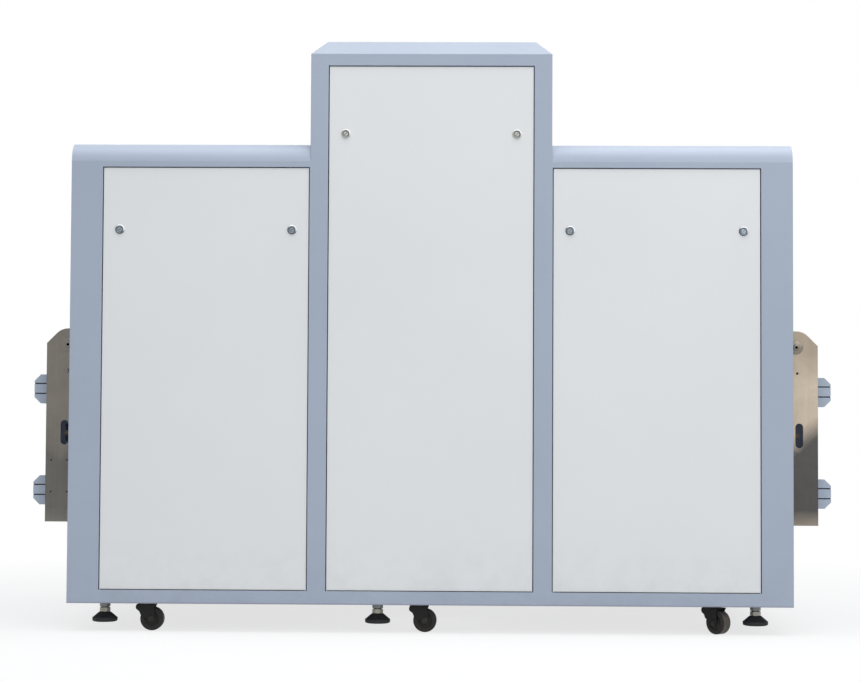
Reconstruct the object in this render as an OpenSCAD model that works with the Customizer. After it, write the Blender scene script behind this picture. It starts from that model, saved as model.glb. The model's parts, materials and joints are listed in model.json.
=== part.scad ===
// Baggage x-ray scanner: a steel cabinet of two wings and a taller tower
// around a conveyor tunnel, on six swivel casters and six levelling feet.
// +Z is up, the front is -Y, the belt runs along X, and the floor is z = 0.

/* [Tunnel and belt] */
// Clear width of the tunnel
tunnel_w = 1000; // [800:10:1200]
// Clear height of the tunnel above the belt
tunnel_h = 500; // [400:10:700]
// Height of the belt's top above the floor
belt_h = 965; // [900:5:1150]
// Thickness of the belt
belt_t = 3; // [2:0.5:5]
// Radius of the end rollers
roller_r = 40; // [32:1:50]
// Radius of the return roller under the belt
return_r = 25; // [20:1:30]
// Sheet of the tunnel liner
liner_t = 3; // [2:0.5:5]
// Thickness of the lead-rubber curtain strips
curtain_t = 3.5; // [2:0.5:6]
// Strips in each curtain
strip_count = 10; // [6:1:14]

/* [Cabinet] */
// Length of the cabinet over its end covers
cab_l = 2314; // [2100:2:2900]
// Space between the tunnel and the cabinet's front and rear faces
side_room = 175; // [150:5:350]
// Space between the tunnel's ceiling and the top of the wing roofs
over_tunnel = 103; // [88:1:170]
// Height of the tower's walls above the wing roofs
tower_rise = 287; // [230:1:390]
// Folded sheet of the outer shell
sheet_t = 2.5; // [2:0.1:3.2]
// Radius of the roofs' front and rear edges
roof_r = 61; // [44:1:72]
// Rise of the tower cap
cap_rise = 48.5; // [30:0.5:80]
// Inset of the tower cap's flat top
cap_inset = 51; // [30:1:90]

/* [Front] */
// Width of the outer posts beside the wing panels
outer_post_w = 101; // [85:1:140]
// Width of the tower's posts beside its panel
tower_post_w = 57; // [50:1:60]
// How much wider the posts between the panels are than the tower's posts
post_step = 2; // [2:1:30]
// Width of the tower's panel window
mid_window_w = 662; // [500:2:800]
// Height of the rail below the panels
foot_rail_h = 43; // [32:1:60]
// Distance from the wing roof's top to the wing windows
wing_head_h = 79; // [76:1:100]
// Distance from the tower's front edge to its window
tower_head_h = 37; // [30:1:43]
// Gap round each panel
panel_gap = 3; // [2:0.5:5]
// How far the panels sit behind the front face
panel_setback = 4; // [2:0.5:6]
// Depth of the panels' folded edges
pan_d = 22; // [16:1:30]
// Sheet of the panels
panel_t = 2; // [1:0.25:3]
// Distance of the locks from the panels' sides
lock_in = 53; // [45:1:70]
// Distance of the locks from the top of the wing panels
lock_drop = 199; // [120:1:300]
// Distance of the locks from the top of the tower panel
tower_lock_drop = 218; // [120:1:300]
// Radius of a lock's collar
lock_r = 15; // [12:0.5:18]

/* [Conveyor ends] */
// How far the stainless plates reach beyond the end covers
plate_out = 104; // [90:1:130]
// Distance of the end rollers' axles beyond the end covers
axle_out = 34; // [30:1:50]
// Thickness of the stainless plates
plate_t = 4; // [3:0.5:6]
// Height of the plates' lower edge above the floor
plate_z0 = 342; // [300:1:420]
// Radius of the plates' rounded top about the axle
plate_r = 53; // [44:1:60]
// Radius of the fixed axles
axle_r = 12.5; // [10:0.5:15]
// Distance of the aprons' side walls behind the plates
apron_in = 66; // [50:1:90]
// Height of a coupling block
block_h = 96; // [80:1:120]
// How far the coupling blocks stand out beyond the plates
block_out = 54; // [30:1:60]

/* [Undercarriage] */
// Diameter of the caster wheels
wheel_d = 75; // [62:0.5:100]
// Tread width of the caster wheels
wheel_w = 36; // [24:1:40]
// Trail of the caster wheels behind their swivel axes
caster_trail = 20; // [18:1:30]
// Diameter of the levelling feet's pads
pad_d = 81; // [64:1:100]
// Height of the levelling feet's pads
pad_h = 31; // [24:1:42]
// Radius of the levelling feet's stems
stem_r = 10; // [8:0.5:12]

/* [Hidden] */
$fn = 64;

cabinet_blue = [0.62, 0.68, 0.76];
panel_white = [0.86, 0.88, 0.89];
stainless = [0.55, 0.53, 0.5];
galvanised = [0.66, 0.68, 0.7];
chrome = [0.8, 0.81, 0.83];
black_rubber = [0.1, 0.1, 0.11];
lead_rubber = [0.2, 0.21, 0.24];
dark_blue = [0.23, 0.27, 0.36];

fit = 0.05;       // radial clearance of shafts, pins and threads that turn or slide
seat = 0.3;       // gap between pieces that rest on each other but move
half_l = cab_l / 2;
cab_d = tunnel_w + 2 * side_room;
half_d = cab_d / 2;

// Casters set the height of the base rails and so of the cabinet's lower edge.
wheel_clear = 4.5;
crown_t = 4.2;
race_h = 4.8;
caster_plate_t = 4;
rail_z0 = wheel_d + wheel_clear + crown_t + race_h + caster_plate_t;
ground_gap = rail_z0 - sheet_t;
rail_w = 70;
rail_h = 60;
rail_top = rail_z0 + rail_h;
tube_wall = 3;
weld_gap = 0.3;   // root gap between welded tubes and plates

// Levels of the cabinet
wing_top = belt_h + tunnel_h + over_tunnel;
tower_top = wing_top + tower_rise;
roof_spring = wing_top - roof_r;
window_z0 = ground_gap + foot_rail_h;
wing_window_top = wing_top - wing_head_h;
tower_window_top = tower_top - tower_head_h;
top_rail_drop = 35;
top_rail_h = 40;
top_rail_z1 = wing_top - top_rail_drop;
top_rail_z0 = top_rail_z1 - top_rail_h;
tower_rail_z0 = tower_window_top - 9;
tower_rail_z1 = tower_top - 4;

// Places of the posts and windows along X
mid_post_w = tower_post_w + post_step;
tower_half = mid_window_w / 2 + tower_post_w;
wing_window_x0 = mid_window_w / 2 + mid_post_w;
wing_window_x1 = half_l - outer_post_w;
post_w = tower_post_w - 2 * sheet_t - 2;
mid_post_x1 = tower_half - sheet_t;
end_post_x1 = half_l - sheet_t;
post_y1 = half_d - sheet_t;

// Panel windows: folded returns and the lips that the panels close against
pan_back = half_d - panel_setback - pan_d;
lip_gap = 1;
lip_w = 20;
lip_front = pan_back - lip_gap;
lip_back = lip_front - sheet_t;
rail_y = lip_back;        // outer face of the base rails
top_rail_y1 = lip_back - 1.5;
seam_flange_w = 20;

// Conveyor
belt_gap = 0.3;
axle_z = belt_h - belt_t - belt_gap - roller_r;
axle_x = half_l + axle_out;
belt_w = tunnel_w - 10;
plate_in = tunnel_w / 2 + 16;      // inner face of the plates
plate_top = axle_z + plate_r;
bed_z1 = belt_h - belt_t - 2 * belt_gap;
bed_t = 3;
bed_half = half_l - 20;
return_z = axle_z - roller_r - belt_gap - belt_t - belt_gap - return_r;
return_x = 150;
tunnel_rail_z1 = axle_z - roller_r - 17;
tunnel_rail_z0 = tunnel_rail_z1 - top_rail_h;
slit_w = 16;
liner_top = belt_h + tunnel_h;

// Lock and cam places behind a panel
lock_proud = 5;
lock_body_r = 10;
core_r = 7;
cam_l = lock_in - 5;
cam_w = 16;
cam_t = 3;
cam_y1 = lip_back - seat;

// Undercarriage places, left to right
foot_in = 113;
foot_x = [foot_in - half_l, -166, half_l - foot_in];
caster_x = [-911, -34, 910];
caster_turn = [[0, 0, -45], [0, 0, 30]];
caster_y = rail_y - rail_w / 2 - 2;
jam_h = 18;
hex_h = 14.5;
hex_gap = 1.5;
foot_lift = rail_z0 - jam_h - hex_gap - hex_h - pad_h;

module block(x0, x1, y0, y1, z0, z1) {
    translate([x0, y0, z0])
        cube([x1 - x0, y1 - y0, z1 - z0]);
}

module both_ends() {
    children();
    mirror([1, 0, 0])
        children();
}

module both_sides() {
    children();
    mirror([0, 1, 0])
        children();
}

module along_y(x, y0, y1, z, r) {
    translate([x, y0, z])
        rotate([-90, 0, 0])
            cylinder(h = y1 - y0, r = r);
}

// Hex bar with its flats af apart
module hex_bar(af, h) {
    cylinder(h = h, r = af / sqrt(3), $fn = 6);
}

// Box section from lo to hi, its bore along one axis, and a weld gap short at both ends
module tube(lo, hi, axis) {
    gap = [for (i = [0:2]) i == axis ? weld_gap : 0];
    wall = [for (i = [0:2]) i == axis ? -1 : tube_wall];
    difference() {
        translate(lo + gap)
            cube(hi - lo - 2 * gap);
        translate(lo + wall)
            cube(hi - lo - 2 * wall);
    }
}

module base_frame() {
    color(cabinet_blue)
        difference() {
            union() {
                both_sides()
                    tube([-end_post_x1 - weld_gap, rail_y - rail_w, rail_z0],
                        [end_post_x1 + weld_gap, rail_y, rail_top], 0);
                for (x = [tank_l / 2 - 30, mid_post_x1 - post_w, end_post_x1 - post_w])
                    both_ends()
                        tube([x, rail_w - rail_y, rail_z0], [x + post_w, rail_y - rail_w, rail_top], 1);
            }
            for (x = foot_x)
                both_sides()
                    translate([x, foot_y(), rail_z0 - 1])
                        cylinder(h = rail_h + 2, r = stem_r + 0.5);
        }
}

function foot_y() = rail_y - rail_w / 2;

module upright_frame() {
    color(cabinet_blue) {
        both_ends()
            both_sides() {
                tube([end_post_x1 - post_w, post_y1 - post_w, rail_top - weld_gap],
                    [end_post_x1, post_y1, top_rail_z0], 2);
                tube([mid_post_x1 - post_w, post_y1 - post_w, rail_top - weld_gap],
                    [mid_post_x1, post_y1, tower_rail_z0], 2);
                tube([mid_post_x1, top_rail_y1 - post_w, top_rail_z0],
                    [end_post_x1 + weld_gap, top_rail_y1, top_rail_z1], 0);
            }
        both_sides()
            tube([-mid_post_x1 - weld_gap, top_rail_y1 - post_w, tower_rail_z0],
                [mid_post_x1 + weld_gap, top_rail_y1, tower_rail_z1], 0);
        both_ends() {
            tube([end_post_x1 - post_w, post_w - top_rail_y1, top_rail_z0],
                [end_post_x1, top_rail_y1 - post_w, top_rail_z1], 1);
            tube([mid_post_x1 - post_w, post_w - post_y1, top_rail_z0],
                [mid_post_x1, post_y1 - post_w, top_rail_z1], 1);
            for (x = [mid_post_x1 - post_w, end_post_x1 - post_w])
                tube([x, post_w - post_y1, tunnel_rail_z0],
                    [x + post_w, post_y1 - post_w, tunnel_rail_z1], 1);
        }
    }
}

// Window list: left and right edges, top
function windows() = [
    [-wing_window_x1, -wing_window_x0, wing_window_top],
    [-mid_window_w / 2, mid_window_w / 2, tower_window_top],
    [wing_window_x0, wing_window_x1, wing_window_top]];

// One face of the cabinet, lying at the front; the rear face is its mirror image.
module face_sheet() {
    block(-half_l, half_l, -half_d, -post_y1, ground_gap, roof_spring);
    block(-tower_half, tower_half, -half_d, -post_y1, roof_spring, tower_top);
    // seam flanges under the roofs and the cap, and the flange that hooks on the base rail
    both_ends()
        block(tower_half, end_post_x1, -half_d, seam_flange_w - half_d,
            roof_spring - sheet_t, roof_spring);
    block(-tower_half + sheet_t, tower_half - sheet_t, -half_d, seam_flange_w - half_d,
        tower_top - sheet_t, tower_top);
    block(-end_post_x1, end_post_x1, -half_d, -rail_y, ground_gap, rail_z0);
    block(-end_post_x1, end_post_x1, -rail_y - sheet_t, -rail_y, ground_gap, rail_z0 + 20);
}

module window_frame(w) {
    difference() {
        block(w[0] - sheet_t, w[1] + sheet_t, -half_d, -lip_back, window_z0 - sheet_t, w[2] + sheet_t);
        block(w[0], w[1], -half_d - 1, -lip_front, window_z0, w[2]);
        block(w[0] + lip_w, w[1] - lip_w, -half_d, -lip_back + 1, window_z0 + lip_w, w[2] - lip_w);
    }
}

module face_frame() {
    difference() {
        union() {
            face_sheet();
            for (w = windows())
                window_frame(w);
        }
        for (w = windows())
            block(w[0], w[1], -half_d - 1, -lip_front, window_z0, w[2]);
    }
}

module front_frame() {
    color(cabinet_blue)
        face_frame();
}

// Screws of the rear panels: near both sides, four rows
screw_in = panel_gap + 9;
screw_rows = 4;
screw_r = 3;
screw_head_r = 7;

module at_rear_screws() {
    for (w = windows())
        for (x = [w[0] + screw_in, w[1] - screw_in])
            for (i = [0:screw_rows - 1])
                translate([x, 0, window_z0 + 60 + i * (w[2] - window_z0 - 120) / (screw_rows - 1)])
                    children();
}

inlet_x = -0.6 * half_l;
inlet_w = 60;
inlet_h = foot_rail_h - 8;
inlet_z = ground_gap + foot_rail_h / 2;

module rear_frame() {
    color(cabinet_blue)
        difference() {
            mirror([0, 1, 0])
                face_frame();
            at_rear_screws()
                along_y(0, lip_back - 1, lip_front + 1, 0, screw_r + fit);
            block(inlet_x - inlet_w / 2 + 5, inlet_x + inlet_w / 2 - 5, post_y1 - 1, half_d + 1,
                inlet_z - inlet_h / 2 + 5, inlet_z + inlet_h / 2 - 5);
        }
}

module power_inlet() {
    color(black_rubber)
        difference() {
            union() {
                block(inlet_x - inlet_w / 2, inlet_x + inlet_w / 2, post_y1 - 3, post_y1,
                    inlet_z - inlet_h / 2, inlet_z + inlet_h / 2);
                block(inlet_x - 18, inlet_x + 18, rail_y + sheet_t + 1, post_y1,
                    inlet_z - 10, inlet_z + 10);
            }
            block(inlet_x - 15, inlet_x + 15, post_y1 - 14, post_y1 + 1, inlet_z - 7, inlet_z + 7);
        }
}

// End cover: flat panels welded round the tunnel's mouth and the conveyor's end
module end_sheet(y0, y1, z0, z1) {
    g = weld_gap / 2;
    block(end_post_x1, half_l, y0 + g, y1 - g, z0 + g, z1 - g);
}

module upper_half(r) {
    intersection() {
        circle(r = r);
        translate([-r, 0])
            square([2 * r, r]);
    }
}

// Head panel between the mouth and the roof, its upper corners rounded under the roof sheet
module end_head() {
    r = roof_r - sheet_t;
    translate([end_post_x1, 0, 0])
        rotate([90, 0, 90])
            linear_extrude(sheet_t) {
                translate([-post_y1, liner_top + weld_gap / 2])
                    square([2 * post_y1, roof_spring - liner_top - weld_gap / 2]);
                translate([r - post_y1, roof_spring])
                    square([2 * (post_y1 - r), r]);
                for (s = [-1, 1])
                    translate([s * (post_y1 - r), roof_spring])
                        upper_half(r);
            }
}

module end_cover() {
    bay_y = plate_in + plate_t + 2;
    bay_z0 = plate_z0 - 2;
    bay_z1 = plate_top + 2;
    end_head();
    end_sheet(-bay_y, bay_y, ground_gap, bay_z0);
    both_sides() {
        end_sheet(tunnel_w / 2, post_y1, bay_z1, liner_top);
        end_sheet(bay_y, post_y1, ground_gap, bay_z1);
    }
}

module end_covers() {
    color(cabinet_blue)
        both_ends()
            end_cover();
}

module roof_profile() {
    difference() {
        union() {
            translate([roof_r - half_d, wing_top - roof_r])
                square([cab_d - 2 * roof_r, roof_r]);
            for (s = [-1, 1])
                translate([s * (half_d - roof_r), roof_spring])
                    upper_half(roof_r);
        }
        translate([roof_r - half_d, roof_spring - 1])
            square([cab_d - 2 * roof_r, roof_r - sheet_t + 1]);
        for (s = [-1, 1])
            translate([s * (half_d - roof_r), roof_spring])
                circle(r = roof_r - sheet_t);
    }
}

stiffener_w = 60;

module wing_roof() {
    translate([tower_half, 0, 0])
        rotate([90, 0, 90])
            linear_extrude(half_l - tower_half)
                roof_profile();
    both_sides()
        block(tower_half, end_post_x1, half_d - seam_flange_w, half_d - sheet_t / 2,
            roof_spring, roof_spring + sheet_t);
    // hat stiffeners that sit on the top rails
    for (k = [1, 3])
        translate([tower_half + k * (half_l - tower_half) / 4 - stiffener_w / 2,
            roof_r - half_d, top_rail_z1])
            rotate([-90, 0, 0])
                linear_extrude(cab_d - 2 * roof_r)
                    mirror([0, 1])
                        hat_profile(stiffener_w, top_rail_drop - sheet_t);
}

// Folded hat section, open towards the roof that it is welded to
module hat_profile(w, h) {
    brim = w / 4;
    difference() {
        union() {
            translate([brim, 0])
                square([w - 2 * brim, h]);
            translate([0, h - sheet_t])
                square([w, sheet_t]);
        }
        translate([brim + sheet_t, sheet_t])
            square([w - 2 * brim - 2 * sheet_t, h]);
    }
}

module wing_roofs() {
    color(cabinet_blue)
        both_ends()
            wing_roof();
}

module tower_sides() {
    color(cabinet_blue)
        both_ends()
            block(mid_post_x1, tower_half, -post_y1, post_y1, top_rail_z1, tower_top);
}

// Trapezoid of the cap, its slopes moved in by the sheet where t is above zero
module cap_profile(half, t) {
    m = cap_inset / cap_rise;
    side = t * sqrt(1 + m * m);
    polygon([[-half + side, 0], [half - side, 0],
        [half - side - m * (cap_rise - t), cap_rise - t],
        [-half + side + m * (cap_rise - t), cap_rise - t]]);
}

module cap_solid(t) {
    intersection() {
        translate([0, half_d, 0])
            rotate([90, 0, 0])
                linear_extrude(cab_d)
                    cap_profile(tower_half, t);
        translate([-tower_half, 0, 0])
            rotate([90, 0, 90])
                linear_extrude(2 * tower_half)
                    cap_profile(half_d, t);
    }
}

module tower_cap() {
    color(cabinet_blue)
        translate([0, 0, tower_top])
            difference() {
                cap_solid(0);
                difference() {
                    translate([0, 0, -0.01])
                        cap_solid(sheet_t);
                    difference() {
                        block(-tower_half, tower_half, -half_d, half_d, -1, sheet_t);
                        block(seam_flange_w - tower_half, tower_half - seam_flange_w,
                            seam_flange_w - half_d, half_d - seam_flange_w, -2, sheet_t + 1);
                    }
                }
            }
}

// Folded pan with a hat stiffener down its middle, front face at the setback
module panel(w, hole_r, holes) {
    x0 = w[0] + panel_gap;
    x1 = w[1] - panel_gap;
    z0 = window_z0 + seat;
    z1 = w[2] - panel_gap;
    y0 = panel_setback - half_d;
    difference() {
        block(x0, x1, y0, y0 + pan_d, z0, z1);
        block(x0 + panel_t, x1 - panel_t, y0 + panel_t, y0 + pan_d + 1, z0 + panel_t, z1 - panel_t);
        for (p = holes)
            along_y(p[0], y0 - 1, y0 + panel_t + 1, p[1], hole_r);
    }
    translate([(x0 + x1) / 2 - stiffener_w / 2, y0 + panel_t, z0 + panel_t])
        linear_extrude(z1 - z0 - 2 * panel_t)
            mirror([0, 1])
                translate([0, -(pan_d - panel_t - 4)])
                    hat_profile(stiffener_w, pan_d - panel_t - 4);
}

function drop(i) = i == 1 ? tower_lock_drop : lock_drop;
function lock_z(i) = windows()[i][2] - panel_gap - drop(i);
function lock_x(i, side) = side < 0 ? windows()[i][0] + panel_gap + lock_in
    : windows()[i][1] - panel_gap - lock_in;

module front_panel(i) {
    color(panel_white)
        panel(windows()[i], lock_body_r + fit, [for (s = [-1, 1]) [lock_x(i, s), lock_z(i)]]);
}

module rear_panels() {
    color(panel_white)
        difference() {
            for (w = windows())
                mirror([0, 1, 0])
                    panel(w, 1, []);
            at_rear_screws()
                along_y(0, half_d - panel_setback - panel_t - 1, half_d, 0, screw_r + fit);
        }
}

module rear_screws() {
    color(galvanised)
        at_rear_screws()
            difference() {
                union() {
                    along_y(0, lip_back - 4, half_d - panel_setback + 1, 0, screw_r);
                    along_y(0, half_d - panel_setback, half_d - panel_setback + lock_proud, 0,
                        screw_head_r);
                }
                translate([0, half_d - panel_setback + lock_proud - 3, 0])
                    rotate([-90, 0, 0])
                        cylinder(h = 4, r = 2.5, $fn = 6);
            }
}

// Lock housing about its own axis, front face at y = 0
module lock_housing() {
    back = lock_proud + pan_d - 2;
    difference() {
        union() {
            along_y(0, 0, lock_proud, 0, lock_r);
            along_y(0, 0, back, 0, lock_body_r);
            translate([0, lock_proud + panel_t, 0])
                rotate([-90, 0, 0])
                    hex_bar(2 * lock_body_r + 6, 5);
        }
        along_y(0, -1, back + 1, 0, core_r + fit);
        rotate([-90, 0, 0])
            translate([0, 0, -0.01])
                cylinder(h = 1.5, r1 = lock_body_r + 1, r2 = lock_body_r - 0.5);
    }
}

module lock_housings(i) {
    color(chrome)
        for (s = [-1, 1])
            translate([lock_x(i, s), panel_setback - lock_proud - half_d, lock_z(i)])
                lock_housing();
}

// Turning core and cam; at rest the cam stands up, clear of the lip
module lock_cam(i, s) {
    face = panel_setback - lock_proud - half_d;
    color(chrome)
        translate([lock_x(i, s), 0, lock_z(i)]) {
            difference() {
                along_y(0, face + 1.2, -cam_y1, 0, core_r);
                rotate([0, 45, 0])
                    block(-1.25, 1.25, face, face + 4, -core_r, core_r);
            }
            translate([0, -cam_y1, 0])
                rotate([-90, 0, 0])
                    linear_extrude(cam_t)
                        union() {
                            circle(r = cam_w / 2);
                            translate([-cam_w / 2, -cam_l + cam_w / 2])
                                square([cam_w, cam_l - cam_w / 2]);
                            translate([0, -cam_l + cam_w / 2])
                                circle(r = cam_w / 2);
                        }
            translate([0, cam_t - cam_y1, 0])
                rotate([-90, 0, 0])
                    hex_bar(10, 4);
        }
}

// Tunnel liner: inverted U with foot flanges and the slit of the beam
module tunnel_liner() {
    outer = tunnel_w / 2 + liner_t;
    color(stainless)
        difference() {
            union() {
                block(-end_post_x1, end_post_x1, -outer, outer, bed_z1, liner_top + liner_t);
                block(-bed_half, bed_half, -plate_in, plate_in, bed_z1, bed_z1 + liner_t);
            }
            block(-half_l, half_l, -tunnel_w / 2, tunnel_w / 2, bed_z1 - 1, liner_top);
            block(-slit_w / 2, slit_w / 2, 60 - outer, outer - 60,
                liner_top - 1, liner_top + liner_t + 1);
            block(-slit_w / 2, slit_w / 2, outer - liner_t - 1, outer + 1,
                belt_h + 20, liner_top - 20);
        }
}

// Welded tray under the belt: two deck plates with the beam's slit between them, webs with
// foot strips, and ears for the return roller
module belt_bed() {
    deck_z0 = bed_z1 - bed_t;
    strip_z1 = tunnel_rail_z1 + bed_t;
    color(galvanised) {
        both_ends()
            block(slit_w / 2, bed_half, -plate_in, plate_in, deck_z0, bed_z1);
        both_sides() {
            block(-bed_half, bed_half, plate_in - bed_t, plate_in,
                strip_z1 + weld_gap, deck_z0 - weld_gap);
            block(-bed_half, bed_half, plate_in - 14, plate_in, tunnel_rail_z1, strip_z1);
            difference() {
                block(return_x - 40, return_x + 40, plate_in - bed_t, plate_in, return_z - 20,
                    tunnel_rail_z1 - weld_gap);
                along_y(return_x, plate_in - bed_t - 1, plate_in + 1, return_z, return_axle_r + fit);
            }
        }
    }
}

return_axle_r = 8;

module return_roller() {
    color(galvanised) {
        along_y(return_x, -belt_w / 2, belt_w / 2, return_z, return_r);
        along_y(return_x, -plate_in - 2, plate_in + 2, return_z, return_axle_r);
    }
}

// Racetrack of the belt round both end rollers
module loop_shape(r) {
    translate([-axle_x, -r])
        square([2 * axle_x, 2 * r]);
    for (s = [-1, 1])
        translate([s * axle_x, 0])
            circle(r = r);
}

module conveyor_belt() {
    inner = roller_r + belt_gap;
    color(black_rubber)
        translate([0, belt_w / 2, axle_z])
            rotate([90, 0, 0])
                linear_extrude(belt_w)
                    difference() {
                        loop_shape(inner + belt_t);
                        loop_shape(inner);
                    }
}

module end_roller(s) {
    shell = 5;
    color(galvanised)
        translate([s * axle_x, 0, 0])
            difference() {
                along_y(0, -belt_w / 2 - 8, belt_w / 2 + 8, axle_z, roller_r);
                along_y(0, 12 - belt_w / 2, belt_w / 2 - 12, axle_z, roller_r - shell);
                along_y(0, -belt_w, belt_w, axle_z, axle_r + fit);
            }
}

washer_r = 22;
washer_t = 4;

module end_axles() {
    outer = plate_in + plate_t;
    color(galvanised)
        both_ends() {
            along_y(axle_x, -outer - 1, outer + 1, axle_z, axle_r);
            both_sides()
                difference() {
                    union() {
                        along_y(axle_x, outer, outer + washer_t, axle_z, washer_r);
                        along_y(axle_x, outer, outer + washer_t + 3, axle_z, 9);
                        along_y(axle_x, belt_w / 2 + 8 + seat, plate_in, axle_z, axle_r + 5);
                    }
                    along_y(axle_x, outer + washer_t, outer + washer_t + 4, axle_z, 3.5);
                }
        }
}

slot_w = 25;
slot_l = 80;
slot_x = half_l + 43;
slot_z = plate_z0 + 292;
pattern_x = [half_l + 33, half_l + 86];
pattern_z = [plate_z0 + 98, plate_z0 + 201];
pattern_r = 2.75;
guide_x = axle_x + 3;
guide_z = plate_z0 + 495;
guide_r = 4;

// Outline of an end plate in x and z, the tail inside the cabinet included
module plate_outline() {
    x1 = half_l + plate_out;
    k = plate_r * sqrt(0.5);
    run = x1 - axle_x - k;
    difference() {
        union() {
            translate([axle_x, axle_z])
                circle(r = plate_r);
            polygon([[end_post_x1, plate_z0], [x1, plate_z0], [x1, axle_z + k - run],
                [axle_x + k, axle_z + k], [axle_x, axle_z + plate_r], [end_post_x1, axle_z + plate_r]]);
            translate([bed_half - 80, tunnel_rail_z1])
                square([half_l - bed_half + 80, plate_top - tunnel_rail_z1]);
        }
        translate([axle_x, axle_z])
            circle(r = axle_r + fit);
        for (s = [-1, 1])
            translate([slot_x, slot_z + s * (slot_l - slot_w) / 2])
                circle(d = slot_w);
        translate([slot_x - slot_w / 2, slot_z - (slot_l - slot_w) / 2])
            square([slot_w, slot_l - slot_w]);
        translate([guide_x, guide_z])
            circle(r = guide_r);
    }
}

module end_plate(drilled) {
    difference() {
        translate([0, -plate_in, 0])
            rotate([90, 0, 0])
                linear_extrude(plate_t)
                    plate_outline();
        if (drilled)
            for (x = pattern_x)
                for (z = pattern_z)
                    along_y(x, -plate_in - plate_t - 1, 1 - plate_in, z, pattern_r);
    }
}

module conveyor_plates() {
    color(stainless) {
        mirror([1, 0, 0])
            end_plate(true);
        end_plate(false);
        mirror([0, 1, 0])
            both_ends()
                end_plate(false);
    }
}

apron_x = half_l + plate_out - 20;
apron_z0 = plate_z0 + 5;
apron_z1 = tunnel_rail_z1 + 6;

// Folded apron that closes the cabinet's end below the belt, in plan a hat with turned-out brims
module apron_plan() {
    wall = plate_in + plate_t - apron_in;
    for (s = [-1, 1]) {
        translate([end_post_x1, s > 0 ? wall - sheet_t : -plate_in])
            square([sheet_t, plate_in - wall + sheet_t]);
        translate([end_post_x1, s > 0 ? plate_in - sheet_t : -plate_in])
            square([25, sheet_t]);
        translate([end_post_x1, s > 0 ? wall - sheet_t : -wall])
            square([apron_x - end_post_x1, sheet_t]);
    }
    translate([apron_x - sheet_t, -wall])
        square([sheet_t, 2 * wall]);
}

module end_apron() {
    translate([0, 0, apron_z0])
        linear_extrude(apron_z1 - apron_z0)
            apron_plan();
}

module end_aprons() {
    adjuster_x = slot_x + 4.6;
    adjuster_w = 8;
    adjuster_l = 57;
    color(dark_blue) {
        end_apron();
        // adjusting slots of the belt's tension, at the left end only
        difference() {
            mirror([1, 0, 0])
                end_apron();
            block(-adjuster_x - adjuster_w / 2, adjuster_w / 2 - adjuster_x, -plate_in, plate_in,
                slot_z - adjuster_l / 2, slot_z + adjuster_l / 2);
        }
    }
}

block_w = 45;
block_bore_r = 8.5;
block_slot = 4;
slot_rise = [0.344 * block_h, 0.6875 * block_h];
block_z = [plate_z0 + 53, plate_z0 + 387];
block_x1 = half_l + plate_out + block_out;
block_y = plate_in + plate_t - apron_in - 5 - block_w / 2;

// Coupling block: chamfered outer corners, two slots for hook plates and a drop-in pin bore
module coupling_block() {
    l = block_x1 - apron_x;
    cut = 21;
    difference() {
        rotate([90, 0, 0])
            linear_extrude(block_w, center = true)
                polygon([[0, 0], [l - cut, 0], [l, cut], [l, block_h - cut],
                    [l - cut, block_h], [0, block_h]]);
        for (z = slot_rise)
            block(8, l + 1, -block_w, block_w, z - block_slot / 2, z + block_slot / 2);
        translate([l - 22, 0, -1])
            cylinder(h = block_h + 2, r = block_bore_r);
    }
}

module coupling_blocks(z) {
    color(cabinet_blue)
        both_ends()
            both_sides()
                translate([apron_x, block_y, z])
                    coupling_block();
}

rod_r = 6;
rod_x = half_l - 60;
rod_z = liner_top - 14;

module curtain_rails() {
    color(galvanised)
        both_ends() {
            along_y(rod_x, -tunnel_w / 2, tunnel_w / 2, rod_z, rod_r);
            both_sides()
                along_y(rod_x, tunnel_w / 2 - 4, tunnel_w / 2, rod_z, 11);
        }
}

// Strips hang on the rod by loops at their top edges
module curtain(s) {
    span = tunnel_w - 12;
    pitch = span / strip_count;
    loop_r = rod_r + 0.1 + curtain_t;
    color(lead_rubber)
        for (i = [0:strip_count - 1])
            translate([s * rod_x, -span / 2 + (i + 0.5) * pitch, 0])
                difference() {
                    union() {
                        along_y(0, 1 - pitch / 2, pitch / 2 - 1, rod_z, loop_r);
                        block(-curtain_t / 2, curtain_t / 2, 1 - pitch / 2, pitch / 2 - 1,
                            belt_h + 5, rod_z - rod_r);
                    }
                    along_y(0, -pitch, pitch, rod_z, rod_r + 0.1);
                }
}

// Generator tank with cooling ribs and the fan-shaped snout of its collimator
tank_l = 360;
tank_d = 400;
tank_h = 320;
tank_y0 = 180 - rail_y;

module xray_generator() {
    rib = 6;
    top = rail_top + tank_h;
    fan_z1 = tunnel_rail_z0 - 5;
    color(galvanised) {
        block(-tank_l / 2, tank_l / 2, tank_y0, tank_y0 + tank_d, rail_top, top);
        both_ends()
            for (i = [0:7])
                block(tank_l / 2, tank_l / 2 + 24, tank_y0 + 30 + i * 46, tank_y0 + 30 + i * 46 + rib,
                    rail_top + 30, top - 30);
        translate([-25, 0, 0])
            rotate([90, 0, 90])
                linear_extrude(50)
                    polygon([[tank_y0 + 60, top], [tank_y0 + 130, top],
                        [tunnel_w / 4, fan_z1], [40 - tunnel_w / 2, fan_z1]]);
    }
}

// L-shaped detector housing over and behind the tunnel
module detector_arm() {
    t = over_tunnel - top_rail_drop - liner_t - 7;
    outer = tunnel_w / 2 + liner_t;
    color(cabinet_blue)
        translate([60, 0, 0])
            rotate([0, -90, 0])
                linear_extrude(120)
                    polygon([[bed_z1 + liner_t, outer], [liner_top + liner_t, outer],
                        [liner_top + liner_t, 40 - outer], [liner_top + liner_t + t, 40 - outer],
                        [liner_top + liner_t + t, outer + t], [bed_z1 + liner_t, outer + t]]);
}

cabinet_half = mid_post_x1 - post_w / 2;

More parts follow.
